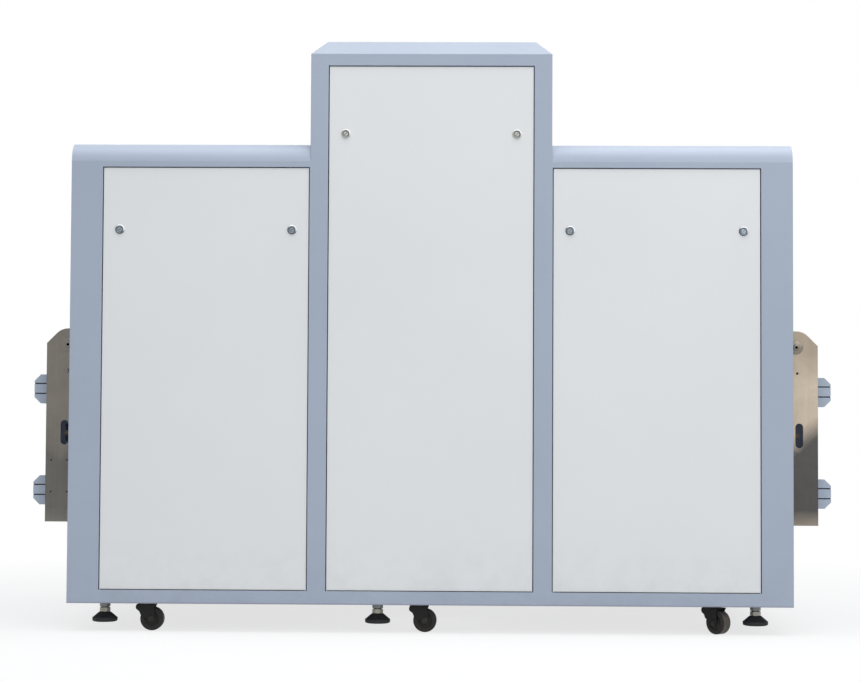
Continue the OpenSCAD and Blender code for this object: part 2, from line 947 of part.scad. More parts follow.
module control_cabinet() {
    h = tower_rail_z0 - top_rail_z1 - 16;
    d = 250;
    color(panel_white)
        difference() {
            block(-cabinet_half, cabinet_half, -d, d, top_rail_z1, top_rail_z1 + h);
            block(-cabinet_half + 20, cabinet_half - 20, -d - 1, 2 - d, top_rail_z1 + 20,
                top_rail_z1 + h - 20);
            for (i = [0:5])
                block(-90, 90, -d, 12 - d, top_rail_z1 + 50 + i * 16, top_rail_z1 + 56 + i * 16);
        }
}

// --- Undercarriage ---

module at_foot(side, i) {
    translate([foot_x[i], side * foot_y(), 0])
        children();
}

// Round pad with a cone on top, its lower rim rounded
module foot_pad() {
    r = pad_d / 2;
    rim = 4;
    rim_h = 0.45 * pad_h;
    rotate_extrude()
        polygon([[0, 0], [r - 1.6 * rim, 0], [r - 0.6 * rim, rim / 4], [r - 0.15 * rim, 0.7 * rim],
            [r, 1.4 * rim], [r, rim_h - 2], [r - 1.5, rim_h], [0.47 * r + 1, pad_h - 0.8],
            [0.47 * r - 1, pad_h], [0, pad_h]]);
}

module levelling_foot(side, i) {
    hex_z = foot_lift + pad_h;
    at_foot(side, i) {
        color(black_rubber)
            translate([0, 0, foot_lift])
                foot_pad();
        color(galvanised) {
            translate([0, 0, hex_z])
                hex_bar(3 * stem_r, hex_h);
            translate([0, 0, hex_z])
                cylinder(h = rail_top - 2 - hex_z, r = stem_r);
        }
    }
}

module foot_jam_nuts() {
    color(galvanised)
        for (side = [-1, 1])
            for (i = [0:2])
                at_foot(side, i)
                    translate([0, 0, rail_z0 - jam_h])
                        difference() {
                            hex_bar(3 * stem_r, jam_h);
                            translate([0, 0, -1])
                                cylinder(h = jam_h + 2, r = stem_r + fit);
                        }
}

function turn(side, i) = caster_turn[side < 0 ? 0 : 1][i];

module at_caster(side, i) {
    translate([caster_x[i], side * caster_y, 0])
        rotate([0, 0, turn(side, i)])
            children();
}

race_r = 26;
king_r = 8;
crown_z = wheel_d + wheel_clear;
wheel_axle_r = 6;

module caster_plates() {
    color(galvanised)
        for (side = [-1, 1])
            for (i = [0:2])
                translate([caster_x[i], side * caster_y, 0]) {
                    block(-42, 42, -33, 33, rail_z0 - caster_plate_t, rail_z0);
                    translate([0, 0, rail_z0 - caster_plate_t - race_h + seat])
                        cylinder(h = race_h, r = race_r);
                    translate([0, 0, crown_z - 2])
                        cylinder(h = rail_z0 - crown_z, r = king_r);
                }
}

crown_half = race_r + 2;
crown_lip = 5;   // how far the crown runs out over the wheel

// Pressed cheek of a fork in x and z: a bulged shoulder that runs in to the hub
module cheek_outline(boss_r) {
    axle_h = wheel_d / 2;
    polygon([[caster_trail + boss_r, axle_h], [crown_half, crown_z - 6],
        [crown_half + crown_lip, crown_z + crown_t], [-crown_half, crown_z + crown_t],
        [-crown_half - 3, crown_z - 2], [-crown_half - 2, crown_z - 10],
        [-0.75 * race_r, axle_h + 24], [-0.6 * race_r, axle_h + 14],
        [caster_trail - boss_r - 10, axle_h + 3], [caster_trail - boss_r + 1.5, axle_h - 5],
        [caster_trail, axle_h - boss_r]]);
}

module caster_fork(side, i) {
    cheek_y = wheel_w / 2 + 2;
    cheek_t = 3.5;
    axle_h = wheel_d / 2;
    boss_r = 11.5;
    color(black_rubber)
        at_caster(side, i) {
            difference() {
                union() {
                    translate([0, 0, crown_z])
                        cylinder(h = crown_t, r = race_r);
                    both_sides()
                        translate([0, cheek_y + cheek_t, 0])
                            rotate([90, 0, 0])
                                linear_extrude(cheek_t) {
                                    translate([caster_trail, axle_h])
                                        circle(r = boss_r);
                                    cheek_outline(boss_r);
                                }
                    both_sides()
                        block(-crown_half, crown_half, 0, cheek_y + cheek_t, crown_z, crown_z + crown_t);
                }
                translate([0, 0, crown_z - 1])
                    cylinder(h = crown_t + 2, r = king_r + fit);
            }
            along_y(caster_trail, -cheek_y - 1, cheek_y + 1, axle_h, wheel_axle_r);
            both_sides()
                translate([caster_trail, cheek_y + cheek_t, axle_h])
                    rotate([-90, 0, 0])
                        hex_bar(12, 3);
        }
}

module caster_wheel(side, i) {
    r = wheel_d / 2;
    edge = 4;
    color(black_rubber)
        at_caster(side, i)
            translate([caster_trail, 0, r])
                rotate([90, 0, 0])
                    rotate_extrude()
                        polygon([[wheel_axle_r + fit, -wheel_w / 2], [r - 16, -wheel_w / 2],
                            [r - 14, 4 - wheel_w / 2], [r - 8, 4 - wheel_w / 2], [r - 7, -wheel_w / 2],
                            [r - edge, -wheel_w / 2], [r, edge - wheel_w / 2], [r, wheel_w / 2 - edge],
                            [r - edge, wheel_w / 2], [r - 7, wheel_w / 2], [r - 8, wheel_w / 2 - 4],
                            [r - 14, wheel_w / 2 - 4], [r - 16, wheel_w / 2],
                            [wheel_axle_r + fit, wheel_w / 2]]);
}

base_frame();
upright_frame();
front_frame();
rear_frame();
end_covers();
wing_roofs();
tower_sides();
tower_cap();
rear_panels();
rear_screws();
tunnel_liner();
belt_bed();
conveyor_belt();
conveyor_plates();
end_aprons();
coupling_blocks(block_z[0]);  // lower_coupling_blocks
coupling_blocks(block_z[1]);  // upper_coupling_blocks
end_axles();
curtain_rails();
xray_generator();
detector_arm();
control_cabinet();
foot_jam_nuts();
caster_plates();
power_inlet();
end_roller(-1);  // left_end_roller
end_roller(1);  // right_end_roller
return_roller();
curtain(-1);  // left_curtain
curtain(1);  // right_curtain
front_panel(0);  // left_front_panel
front_panel(1);  // middle_front_panel
front_panel(2);  // right_front_panel
lock_housings(0);  // left_lock_housings
lock_housings(1);  // middle_lock_housings
lock_housings(2);  // right_lock_housings
lock_cam(0, -1);  // left_panel_left_cam
lock_cam(0, 1);  // left_panel_right_cam
lock_cam(1, -1);  // middle_panel_left_cam
lock_cam(1, 1);  // middle_panel_right_cam
lock_cam(2, -1);  // right_panel_left_cam
lock_cam(2, 1);  // right_panel_right_cam
levelling_foot(-1, 0);  // front_left_foot
levelling_foot(-1, 1);  // front_middle_foot
levelling_foot(-1, 2);  // front_right_foot
levelling_foot(1, 0);  // rear_left_foot
levelling_foot(1, 1);  // rear_middle_foot
levelling_foot(1, 2);  // rear_right_foot
caster_fork(-1, 0);  // front_left_fork
caster_fork(-1, 1);  // front_middle_fork
caster_fork(-1, 2);  // front_right_fork
caster_fork(1, 0);  // rear_left_fork
caster_fork(1, 1);  // rear_middle_fork
caster_fork(1, 2);  // rear_right_fork
caster_wheel(-1, 0);  // front_left_wheel
caster_wheel(-1, 1);  // front_middle_wheel
caster_wheel(-1, 2);  // front_right_wheel
caster_wheel(1, 0);  // rear_left_wheel
caster_wheel(1, 1);  // rear_middle_wheel
caster_wheel(1, 2);  // rear_right_wheel
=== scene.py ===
import json
from math import cos, pi, radians, sin

import bpy
from mathutils import Euler, Matrix, Vector


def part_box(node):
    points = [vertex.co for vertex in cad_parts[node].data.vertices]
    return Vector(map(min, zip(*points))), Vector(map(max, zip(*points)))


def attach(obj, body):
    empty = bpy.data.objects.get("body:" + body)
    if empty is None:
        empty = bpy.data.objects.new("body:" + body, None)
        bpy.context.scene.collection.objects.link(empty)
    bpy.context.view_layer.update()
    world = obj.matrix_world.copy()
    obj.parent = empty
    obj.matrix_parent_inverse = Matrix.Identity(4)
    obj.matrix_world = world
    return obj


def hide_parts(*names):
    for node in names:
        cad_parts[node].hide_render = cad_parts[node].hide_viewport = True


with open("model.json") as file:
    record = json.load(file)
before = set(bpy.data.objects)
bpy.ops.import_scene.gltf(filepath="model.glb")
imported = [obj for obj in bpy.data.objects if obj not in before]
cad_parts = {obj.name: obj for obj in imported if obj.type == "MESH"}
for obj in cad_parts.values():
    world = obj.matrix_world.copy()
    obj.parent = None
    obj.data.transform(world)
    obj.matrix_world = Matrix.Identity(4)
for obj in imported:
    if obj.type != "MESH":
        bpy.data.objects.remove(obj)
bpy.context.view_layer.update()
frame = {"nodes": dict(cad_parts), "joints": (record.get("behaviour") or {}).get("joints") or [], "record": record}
jointOf = {joint["name"]: joint for joint in frame["joints"]}
sides, columns = ("front", "rear"), ("left", "middle", "right")


# small tools for modelling by hand

def deselectAll():
    if bpy.context.object and bpy.context.object.mode != "OBJECT":
        bpy.ops.object.mode_set(mode="OBJECT")
    bpy.ops.object.select_all(action="DESELECT")


def pickFaces(piece, wanted):
    # leaves edit mode with just the faces selected that the test wants
    bpy.ops.object.mode_set(mode="OBJECT")
    mesh = piece.data
    for vertex in mesh.vertices:
        vertex.select = False
    for edge in mesh.edges:
        edge.select = False
    for face in mesh.polygons:
        face.select = bool(wanted(face))
    bpy.ops.object.mode_set(mode="EDIT")
    bpy.ops.mesh.select_mode(type="FACE")


def pickEdges(piece, wanted):
    bpy.ops.object.mode_set(mode="OBJECT")
    mesh = piece.data
    for face in mesh.polygons:
        face.select = False
    for vertex in mesh.vertices:
        vertex.select = False
    for edge in mesh.edges:
        a, b = (mesh.vertices[i].co for i in edge.vertices)
        edge.select = bool(wanted(a, b))
    bpy.ops.object.mode_set(mode="EDIT")
    bpy.ops.mesh.select_mode(type="EDGE")


def startDisc(radius, height, steps=48):
    # a short bar on the origin, its top face ready to be drawn out ring by ring
    deselectAll()
    bpy.ops.mesh.primitive_cylinder_add(vertices=steps, radius=radius, depth=height,
                                        location=(0, 0, height / 2))
    bpy.ops.object.transform_apply(location=True, rotation=True, scale=True)
    return bpy.context.object


def drawOut(piece, rings, top=True):
    # each ring is how far the end cap moves along Z and the radius it then has
    sign = 1 if top else -1
    reach = max(v.co.z * sign for v in piece.data.vertices)
    pickFaces(piece, lambda face: face.normal.z * sign > 0.99 and face.center.z * sign > reach - 1e-6)
    radius = max(Vector((piece.data.vertices[i].co.x, piece.data.vertices[i].co.y)).length
                 for face in piece.data.polygons if face.select for i in face.vertices)
    for rise, newRadius in rings:
        bpy.ops.mesh.extrude_region_move(TRANSFORM_OT_translate={"value": (0, 0, rise * sign)})
        share = newRadius / radius
        bpy.ops.transform.resize(value=(share, share, 1))
        radius = newRadius
    bpy.ops.object.mode_set(mode="OBJECT")


def applyAll(piece):
    bpy.context.view_layer.objects.active = piece
    for modifier in list(piece.modifiers):
        bpy.ops.object.modifier_apply(modifier=modifier.name)


def smoothed(piece, angle=32):
    deselectAll()
    piece.select_set(True)
    bpy.context.view_layer.objects.active = piece
    bpy.ops.object.shade_smooth_by_angle(angle=radians(angle))


def outwards(piece):
    # merges doubles and turns every face outwards
    deselectAll()
    bpy.context.view_layer.objects.active = piece
    bpy.ops.object.mode_set(mode="EDIT")
    bpy.ops.mesh.select_all(action="SELECT")
    bpy.ops.mesh.remove_doubles(threshold=1e-6)
    bpy.ops.mesh.normals_make_consistent(inside=False)
    bpy.ops.object.mode_set(mode="OBJECT")


def joined(pieces, name=None):
    deselectAll()
    for piece in pieces:
        piece.select_set(True)
    bpy.context.view_layer.objects.active = pieces[0]
    bpy.ops.object.join()
    piece = bpy.context.object
    if name:
        piece.name = piece.data.name = name
    return piece


def copied(piece, name, place):
    # a copy with its own mesh, its place worked into the mesh
    copy = piece.copy()
    copy.data = piece.data.copy()
    copy.name = copy.data.name = name
    bpy.context.scene.collection.objects.link(copy)
    copy.data.transform(place)
    return copy


def dropped(piece):
    bpy.data.objects.remove(piece, do_unlink=True)


def dressed(piece, material, body, replaces=()):
    piece.data.materials.clear()
    piece.data.materials.append(material)
    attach(piece, body)
    if replaces:
        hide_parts(*replaces)
    return piece


# camera, light and floor

view = {"place": (0.1165, -7.290, 0.646), "left": 1.018, "up": 2.47, "roll": 0.289, "lens": 86.7}
light = {"sky": 0.625, "skyTint": (0.94, 0.97, 1.0), "overhead": 175, "front": 66,
         "floor": (0.86, 0.865, 0.87), "floorFade": (2.2, 3.6), "floorLift": 0.74}


def makeCamera():
    bpy.ops.object.camera_add(location=view["place"])
    camera = bpy.context.object
    turn = Euler((radians(90 + view["up"]), 0, radians(view["left"]))).to_matrix()
    turn = turn @ Matrix.Rotation(radians(view["roll"]), 3, "Z")
    camera.rotation_euler = turn.to_euler()
    camera.data.lens = view["lens"]
    camera.data.sensor_width = 36
    bpy.context.scene.camera = camera


def softBox(name, place, target, size, power):
    bpy.ops.object.light_add(type="AREA", location=place)
    lamp = bpy.context.object
    lamp.name = name
    lamp.rotation_euler = (Vector(target) - Vector(place)).to_track_quat("-Z", "Y").to_euler()
    lamp.data.shape = "RECTANGLE"
    lamp.data.size, lamp.data.size_y = size
    lamp.data.energy = power


def seenDirectly(nodes, links):
    # 1 for what the camera, a mirror or glass sees, 0 for what lights the scene
    path = nodes.new("ShaderNodeLightPath")
    first = nodes.new("ShaderNodeMath")
    first.operation = "MAXIMUM"
    second = nodes.new("ShaderNodeMath")
    second.operation = "MAXIMUM"
    links.new(path.outputs["Is Camera Ray"], first.inputs[0])
    links.new(path.outputs["Is Glossy Ray"], first.inputs[1])
    links.new(first.outputs[0], second.inputs[0])
    links.new(path.outputs["Is Transmission Ray"], second.inputs[1])
    return second.outputs[0]


def makeStage():
    scene = bpy.context.scene
    scene.view_settings.view_transform = "Standard"
    world = bpy.data.worlds.new("sky")
    scene.world = world
    world.use_nodes = True
    nodes, links = world.node_tree.nodes, world.node_tree.links
    sky = nodes["Background"]
    sky.inputs["Color"].default_value = (*light["skyTint"], 1)
    sky.inputs["Strength"].default_value = light["sky"]
    white = nodes.new("ShaderNodeBackground")
    mix = nodes.new("ShaderNodeMixShader")
    white.inputs["Color"].default_value = (1, 1, 1, 1)
    links.new(seenDirectly(nodes, links), mix.inputs[0])
    links.new(sky.outputs[0], mix.inputs[1])
    links.new(white.outputs[0], mix.inputs[2])
    links.new(mix.outputs[0], nodes["World Output"].inputs[0])

    softBox("overheadLight", (0.5, -1.0, 5.2), (0, 0.1, 1.2), (5.5, 4.0), light["overhead"])
    softBox("frontLight", (3.0, -6.0, 3.4), (0, 0, 1.0), (3.5, 3.0), light["front"])

    deselectAll()
    bpy.ops.mesh.primitive_circle_add(vertices=96, radius=60, fill_type="NGON", location=(0, 0, 0))
    floor = bpy.context.object
    floor.name = "floor"
    material = bpy.data.materials.new("paleFloor")
    material.use_nodes = True
    nodes, links = material.node_tree.nodes, material.node_tree.links
    matt = nodes["Principled BSDF"]
    matt.inputs["Base Color"].default_value = (*light["floor"], 1)
    matt.inputs["Roughness"].default_value = 0.9
    glow = nodes.new("ShaderNodeEmission")
    mix = nodes.new("ShaderNodeMixShader")
    place = nodes.new("ShaderNodeTexCoord")
    distance = nodes.new("ShaderNodeVectorMath")
    distance.operation = "LENGTH"
    fade = nodes.new("ShaderNodeMapRange")
    fade.inputs["From Min"].default_value, fade.inputs["From Max"].default_value = light["floorFade"]
    fade.inputs["To Min"].default_value = light["floorLift"]
    both = nodes.new("ShaderNodeMath")
    both.operation = "MULTIPLY"
    links.new(place.outputs["Object"], distance.inputs[0])
    links.new(distance.outputs["Value"], fade.inputs["Value"])
    links.new(fade.outputs["Result"], both.inputs[0])
    links.new(seenDirectly(nodes, links), both.inputs[1])
    links.new(both.outputs[0], mix.inputs[0])
    links.new(matt.outputs[0], mix.inputs[1])
    links.new(glow.outputs[0], mix.inputs[2])
    links.new(mix.outputs[0], nodes["Material Output"].inputs[0])
    floor.data.materials.append(material)


# finishes

class Tree:
    # a material's nodes, wired with short calls
    def __init__(self, name):
        self.material = bpy.data.materials.new(name)
        self.material.use_nodes = True
        self.nodes = self.material.node_tree.nodes
        self.links = self.material.node_tree.links
        self.shader = self.nodes["Principled BSDF"]
        self.where = self.nodes.new("ShaderNodeTexCoord").outputs["Object"]

    def put(self, socket, value):
        if isinstance(value, bpy.types.NodeSocket):
            self.links.new(value, socket)
        elif isinstance(value, tuple) and len(value) == 3 and socket.type == "RGBA":
            socket.default_value = (*value, 1)
        else:
            socket.default_value = value

    def stretched(self, scale):
        node = self.nodes.new("ShaderNodeMapping")
        self.put(node.inputs["Vector"], self.where)
        node.inputs["Scale"].default_value = scale
        return node.outputs[0]

    def noise(self, scale, detail=3, rough=0.55, vector=None, warp=0.0):
        node = self.nodes.new("ShaderNodeTexNoise")
        self.put(node.inputs["Vector"], vector or self.where)
        node.inputs["Scale"].default_value = scale
        node.inputs["Detail"].default_value = detail
        node.inputs["Roughness"].default_value = rough
        node.inputs["Distortion"].default_value = warp
        return node.outputs["Fac"]

    def cells(self, scale):
        node = self.nodes.new("ShaderNodeTexVoronoi")
        self.put(node.inputs["Vector"], self.where)
        node.inputs["Scale"].default_value = scale
        return node.outputs["Distance"]

    def span(self, value, low, high, toLow=0.0, toHigh=1.0):
        node = self.nodes.new("ShaderNodeMapRange")
        self.put(node.inputs["Value"], value)
        for key, number in zip(("From Min", "From Max", "To Min", "To Max"), (low, high, toLow, toHigh)):
            node.inputs[key].default_value = number
        return node.outputs["Result"]

    def maths(self, operation, first, second):
        node = self.nodes.new("ShaderNodeMath")
        node.operation = operation
        self.put(node.inputs[0], first)
        self.put(node.inputs[1], second)
        return node.outputs[0]

    def axis(self, name):
        node = self.nodes.new("ShaderNodeSeparateXYZ")
        self.put(node.inputs[0], self.where)
        return node.outputs[name]

    def attribute(self, name):
        node = self.nodes.new("ShaderNodeAttribute")
        node.attribute_name = name
        return node.outputs["Fac"]

    def blendColour(self, share, first, second, mode="MIX"):
        node = self.nodes.new("ShaderNodeMix")
        node.data_type, node.blend_type = "RGBA", mode
        self.put(node.inputs["Factor"], share)
        self.put(node.inputs[6], first)
        self.put(node.inputs[7], second)
        return node.outputs[2]

    def bump(self, height, depth, strength=1.0, edge=0.0):
        node = self.nodes.new("ShaderNodeBump")
        self.put(node.inputs["Height"], height)
        node.inputs["Distance"].default_value = depth
        node.inputs["Strength"].default_value = strength
        if edge:
            rounded = self.nodes.new("ShaderNodeBevel")
            rounded.samples = 6
            rounded.inputs["Radius"].default_value = edge
            self.put(node.inputs["Normal"], rounded.outputs[0])
        self.put(self.shader.inputs["Normal"], node.outputs[0])

    def done(self, colour, roughness, metallic=0.0, specular=0.5):
        self.put(self.shader.inputs["Base Color"], colour)
        self.put(self.shader.inputs["Roughness"], roughness)
        self.shader.inputs["Metallic"].default_value = metallic
        self.shader.inputs["Specular IOR Level"].default_value = specular
        return self.material


# heights for the powder coat: where it gets darker towards the bottom, and the painted shade band at the body's
# bottom edge
coating = {"darkerBelow": (0.10, 0.32), "bottomEdgeShade": (0.0945, 0.0925)}


def powderCoat(name, colour, shade, roughness=0.42, edge=0.0012, grain=900, shine=0.45, bottomEdgeShade=None):
    # sprayed powder: an even colour with faint clouds, fine orange peel and rolled edges; darker in patches
    # towards the bottom, and where given a painted shade band along the bottom edge
    tree = Tree(name)
    clouds = tree.span(tree.noise(1.7, 4, 0.6), 0.3, 0.7, 0, 1)
    body = tree.blendColour(clouds, colour, shade)
    # darker towards the bottom, in patches
    darkerBelow = tree.span(tree.axis("Z"), *coating["darkerBelow"], 0.35, 0.0)
    darkerBelow = tree.maths("MULTIPLY", darkerBelow, tree.span(tree.noise(14, 5, 0.65), 0.42, 0.75))
    body = tree.blendColour(darkerBelow, body, tuple(0.72 * c for c in colour))
    # a purplish dark band along the body's bottom edge: painted shade under the edge
    if bottomEdgeShade:
        body = tree.blendColour(tree.span(tree.axis("Z"), *coating["bottomEdgeShade"]), body, bottomEdgeShade)
    peel = tree.noise(grain, 2, 0.5)
    gloss = tree.span(tree.noise(3.1, 4, 0.6), 0.3, 0.7, roughness - 0.04, roughness + 0.05)
    tree.bump(peel, 0.00006, 0.6, edge)
    return tree.done(body, gloss, specular=shine)


def brushedSteel(name, colour, dark, roughness=0.34, fine=260, edge=0.0006):
    # ground sheet: long fine upright lines, broad smudges, a dull bloom in places
    tree = Tree(name)
    lines = tree.noise(fine, 3, 0.6, tree.stretched((1, 1, 0.02)))
    bloom = tree.span(tree.noise(7, 5, 0.62, warp=0.4), 0.35, 0.72)
    body = tree.blendColour(bloom, colour, dark)
    body = tree.blendColour(tree.span(lines, 0.3, 0.7, 0, 0.35), body, tuple(0.7 * c for c in colour))
    gloss = tree.maths("ADD", tree.span(lines, 0.3, 0.7, -0.05, 0.06),
                       tree.span(bloom, 0, 1, roughness, roughness + 0.14))
    tree.bump(lines, 0.00004, 0.5, edge)
    return tree.done(body, gloss, metallic=1.0)


# where and in which tones the end plates carry painted reflection
platePaintedReflection = {"feet": ((0.20, 0.19, 0.17), (0.33, 0.29, 0.24)), "crown": (0.70, 0.70, 0.70),
             "footAt": (0.392, 0.344), "turnAt": (0.585, 0.675), "crownAt": (0.80, 0.93),
             "slantAt": (1.17, 1.264)}


def steelPaintedReflection(name, left, right, roughness=0.40):
    # ground sheet with painted reflection: its tone changes with its end of the machine and over its height;
    # left and right each give the painted reflection below and above the turn, feet the tones of the lowest strip,
    # and the crown is what is left of the right end's tone at its top; the fine lines and clouds are the sheet's
    # own
    tree = Tree(name)
    lines = tree.noise(240, 3, 0.6, tree.stretched((1, 1, 0.012)))
    smudges = tree.noise(5, 4, 0.6, warp=0.5)
    # painted reflection: dark on the left end, dark low and light, warm high on the right end
    rightEnd = tree.span(tree.axis("X"), -0.1, 0.1)
    low = tree.blendColour(rightEnd, left[0], right[0])
    high = tree.blendColour(rightEnd, left[1], right[1])
    lowStrip = tree.blendColour(rightEnd, *platePaintedReflection["feet"])
    slant = tree.span(tree.axis("X"), *platePaintedReflection["slantAt"], 0.03, -0.02)
    level = tree.maths("ADD", tree.axis("Z"), tree.span(smudges, 0.3, 0.7, -0.05, 0.05))
    turning = tree.maths("ADD", level, slant)
    body = tree.blendColour(tree.span(turning, *platePaintedReflection["turnAt"]), low, high)
    top = tree.maths("MULTIPLY", tree.span(level, *platePaintedReflection["crownAt"], 0, 1), rightEnd)
    body = tree.blendColour(top, body, platePaintedReflection["crown"], "MULTIPLY")
    body = tree.blendColour(tree.span(tree.axis("Z"), *platePaintedReflection["footAt"], 0, 0.8), body, lowStrip)
    clouds = tree.span(tree.noise(11, 5, 0.65, warp=0.7), 0.38, 0.72, 0, 0.30)
    body = tree.blendColour(clouds, body, (0.55, 0.54, 0.53), "MULTIPLY")
    body = tree.blendColour(tree.span(lines, 0.3, 0.7, 0, 0.22), body, (0.80, 0.80, 0.80), "MULTIPLY")
    gloss = tree.span(lines, 0.3, 0.7, roughness - 0.04, roughness + 0.06)
    tree.bump(lines, 0.00003, 0.4, 0.0006)
    return tree.done(body, gloss, metallic=1.0)


def bezelPaintedHighlight(name, x, z, bright, dull, reach=0.012):
    # a small polished ring round the given place, with a painted highlight up and to the right and painted shade
    # opposite
    tree = Tree(name)
    across = tree.span(tree.axis("X"), x - reach, x + reach, -0.55, 0.55)
    upright = tree.span(tree.axis("Z"), z - reach, z + reach, -0.85, 0.85)
    share = tree.span(tree.maths("ADD", across, upright), -0.05, 0.55)
    body = tree.blendColour(share, dull, bright)
    haze = tree.span(tree.noise(120, 4, 0.6), 0.35, 0.7, 0.25, 0.35)
    tree.bump(tree.noise(900, 2), 0.00002, 0.4, 0.0004)
    return tree.done(body, haze, metallic=0.15)


def zincPlate(name, colour, edge=0.0006, stain=(0.30, 0.29, 0.26)):
    tree = Tree(name)
    patches = tree.span(tree.cells(90), 0.0, 0.6)
    body = tree.blendColour(patches, colour, tuple(0.82 * c for c in colour))
    stains = tree.span(tree.noise(22, 5, 0.65), 0.5, 0.8, 0, 0.5)
    body = tree.blendColour(stains, body, stain)
    tree.bump(tree.noise(700, 2), 0.00004, 0.5, edge)
    return tree.done(body, tree.span(tree.noise(30, 4), 0.3, 0.7, 0.34, 0.5), metallic=0.9)


def rubber(name, colour, dust, dustShare=0.5, roughness=0.62, grain=500, edge=0.0008, tread=None):
    # black rubber with pale dust in patches
    tree = Tree(name)
    patches = tree.span(tree.noise(45, 6, 0.68, warp=0.6), 0.42, 0.74, 0, dustShare)
    body = tree.blendColour(patches, colour, dust)
    if tread:
        worn = tree.span(tree.noise(70, 5, 0.6, warp=0.4), 0.3, 0.7, 0.35, 1.0)
        body = tree.blendColour(tree.maths("MULTIPLY", tree.attribute("dust"), worn), body, tread)
    tree.bump(tree.noise(grain, 3, 0.6), 0.00010, 0.6, edge)
    return tree.done(body, tree.span(patches, 0, max(dustShare, 0.01), roughness, roughness + 0.22),
                     specular=0.35)


def polished(name, colour, roughness=0.14, edge=0.0005):
    tree = Tree(name)
    haze = tree.span(tree.noise(120, 4, 0.6), 0.35, 0.7, roughness, roughness + 0.12)
    patches = tree.span(tree.noise(60, 3), 0.4, 0.8)
    body = tree.blendColour(patches, colour, tuple(0.8 * c for c in colour))
    tree.bump(tree.noise(900, 2), 0.00002, 0.4, edge)
    return tree.done(body, haze, metallic=1.0)


finishes = {
    "cabinet_blue": powderCoat("cabinetBlue", (0.352, 0.403, 0.492), (0.330, 0.380, 0.468), edge=0.0022,
                               bottomEdgeShade=(0.265, 0.272, 0.345)),
    "panel_white": powderCoat("panelWhite", (0.712, 0.724, 0.728), (0.692, 0.706, 0.712), 0.38),
    # end plates: the tones given for the left and right ends are painted reflection
    "end_plates": steelPaintedReflection("steelPaintedReflection", ((0.143, 0.137, 0.127), (0.205, 0.190, 0.169)),
                                ((0.096, 0.092, 0.088), (0.505, 0.427, 0.341))),
    # coupling blocks: the cabinet blue lightened, painted light against the shade of their recess
    "block_blue_painted_light": powderCoat("blockBluePaintedLight", (0.43, 0.495, 0.60), (0.405, 0.468, 0.572)),
    # wing roofs: the cabinet blue lightened, painted light on the upward-facing roofs
    "roof_blue_painted_light": powderCoat("roofBluePaintedLight", (0.394, 0.451, 0.549), (0.370, 0.426, 0.522)),
    # tower cap: the cabinet blue darkened, painted shade on the cap's slope
    "cap_blue_painted_shade": powderCoat("capBluePaintedShade", (0.341, 0.391, 0.477), (0.320, 0.368, 0.454)),
    "stainless": brushedSteel("brushedStainless", (0.40, 0.365, 0.315), (0.24, 0.225, 0.205)),
    "zinc": zincPlate("zincPlate", (0.52, 0.53, 0.54)),
    "footZinc": zincPlate("footZinc", (0.34, 0.335, 0.29)),
    "nutZinc": zincPlate("nutZinc", (0.20, 0.215, 0.215)),
    # washers: painted reflection, darker on the left end than on the right, like the end plates
    "washerSteelPaintedReflection": steelPaintedReflection("washerSteelPaintedReflection", ((0.16, 0.15, 0.14), (0.20, 0.188, 0.17)),
                                 ((0.20, 0.18, 0.16), (0.33, 0.29, 0.245)), roughness=0.34),
    "screwSteel": zincPlate("screwSteel", (0.26, 0.255, 0.24)),
    # near-black for slots and gaps: painted shade
    "shadeBlack": powderCoat("shadeBlack", (0.012, 0.013, 0.015), (0.014, 0.015, 0.017), 0.6),
    "yellowZinc": zincPlate("yellowZinc", (0.17, 0.145, 0.11)),
    "axleBolt": zincPlate("axleBolt", (0.036, 0.036, 0.034), stain=(0.05, 0.049, 0.045)),
    "lockCore": polished("lockCore", (0.32, 0.345, 0.37), 0.24),
    "paleCore": polished("paleCore", (0.52, 0.52, 0.50), 0.24),
    "darkRace": powderCoat("darkRace", (0.012, 0.012, 0.013), (0.016, 0.016, 0.017), 0.45),
    # aprons: the cabinet blue darkened to navy, painted shade inside the plate slots
    "apron_paint": powderCoat("apronBluePaintedShade", (0.088, 0.117, 0.168), (0.077, 0.103, 0.152), 0.45),
    "belt_rubber": rubber("beltCover", (0.016, 0.016, 0.018), (0.06, 0.058, 0.055), 0.25, 0.55, 300),
    "lead_rubber": rubber("leadRubber", (0.035, 0.037, 0.043), (0.09, 0.09, 0.09), 0.3, 0.7, 260),
    "chromed": polished("chrome", (0.40, 0.405, 0.41), 0.18),
    "foot_rubber": rubber("footRubber", (0.012, 0.012, 0.014), (0.05, 0.05, 0.048), 0.35),
    "fork_black": powderCoat("forkBlack", (0.0060, 0.0060, 0.0064), (0.0075, 0.0075, 0.008), 0.5,
                             shine=0.25),
    "wheel_rubber": rubber("wheelRubber", (0.0105, 0.010, 0.0095), (0.066, 0.058, 0.050), 0.5,
                           tread=(0.135, 0.120, 0.103)),
    "inlet_plastic": rubber("inletPlastic", (0.02, 0.02, 0.021), (0.04, 0.04, 0.04), 0.2, 0.45, 800),
}

# CAD nodes that wear another finish than their material slot's: painted reflection on the end plates, the cabinet
# blue with painted light on the roofs and blocks and painted shade on the cap, and black on the caster plates
ownFinish = {"conveyor_plates": "end_plates", "caster_plates": "darkRace", "wing_roofs": "roof_blue_painted_light",
             "tower_cap": "cap_blue_painted_shade", "lower_coupling_blocks": "block_blue_painted_light",
             "upper_coupling_blocks": "block_blue_painted_light"}


# turned and cut pieces

def turned(name, start, above=(), below=(), steps=48, angle=32):
    # start is the radius and length of the first bar, the rest is drawn out of its ends
    piece = startDisc(start[0], start[1], steps)
    piece.name = piece.data.name = name
    if above:
        drawOut(piece, above)
    if below:
        drawOut(piece, below, top=False)
    smoothed(piece, angle)
    return piece


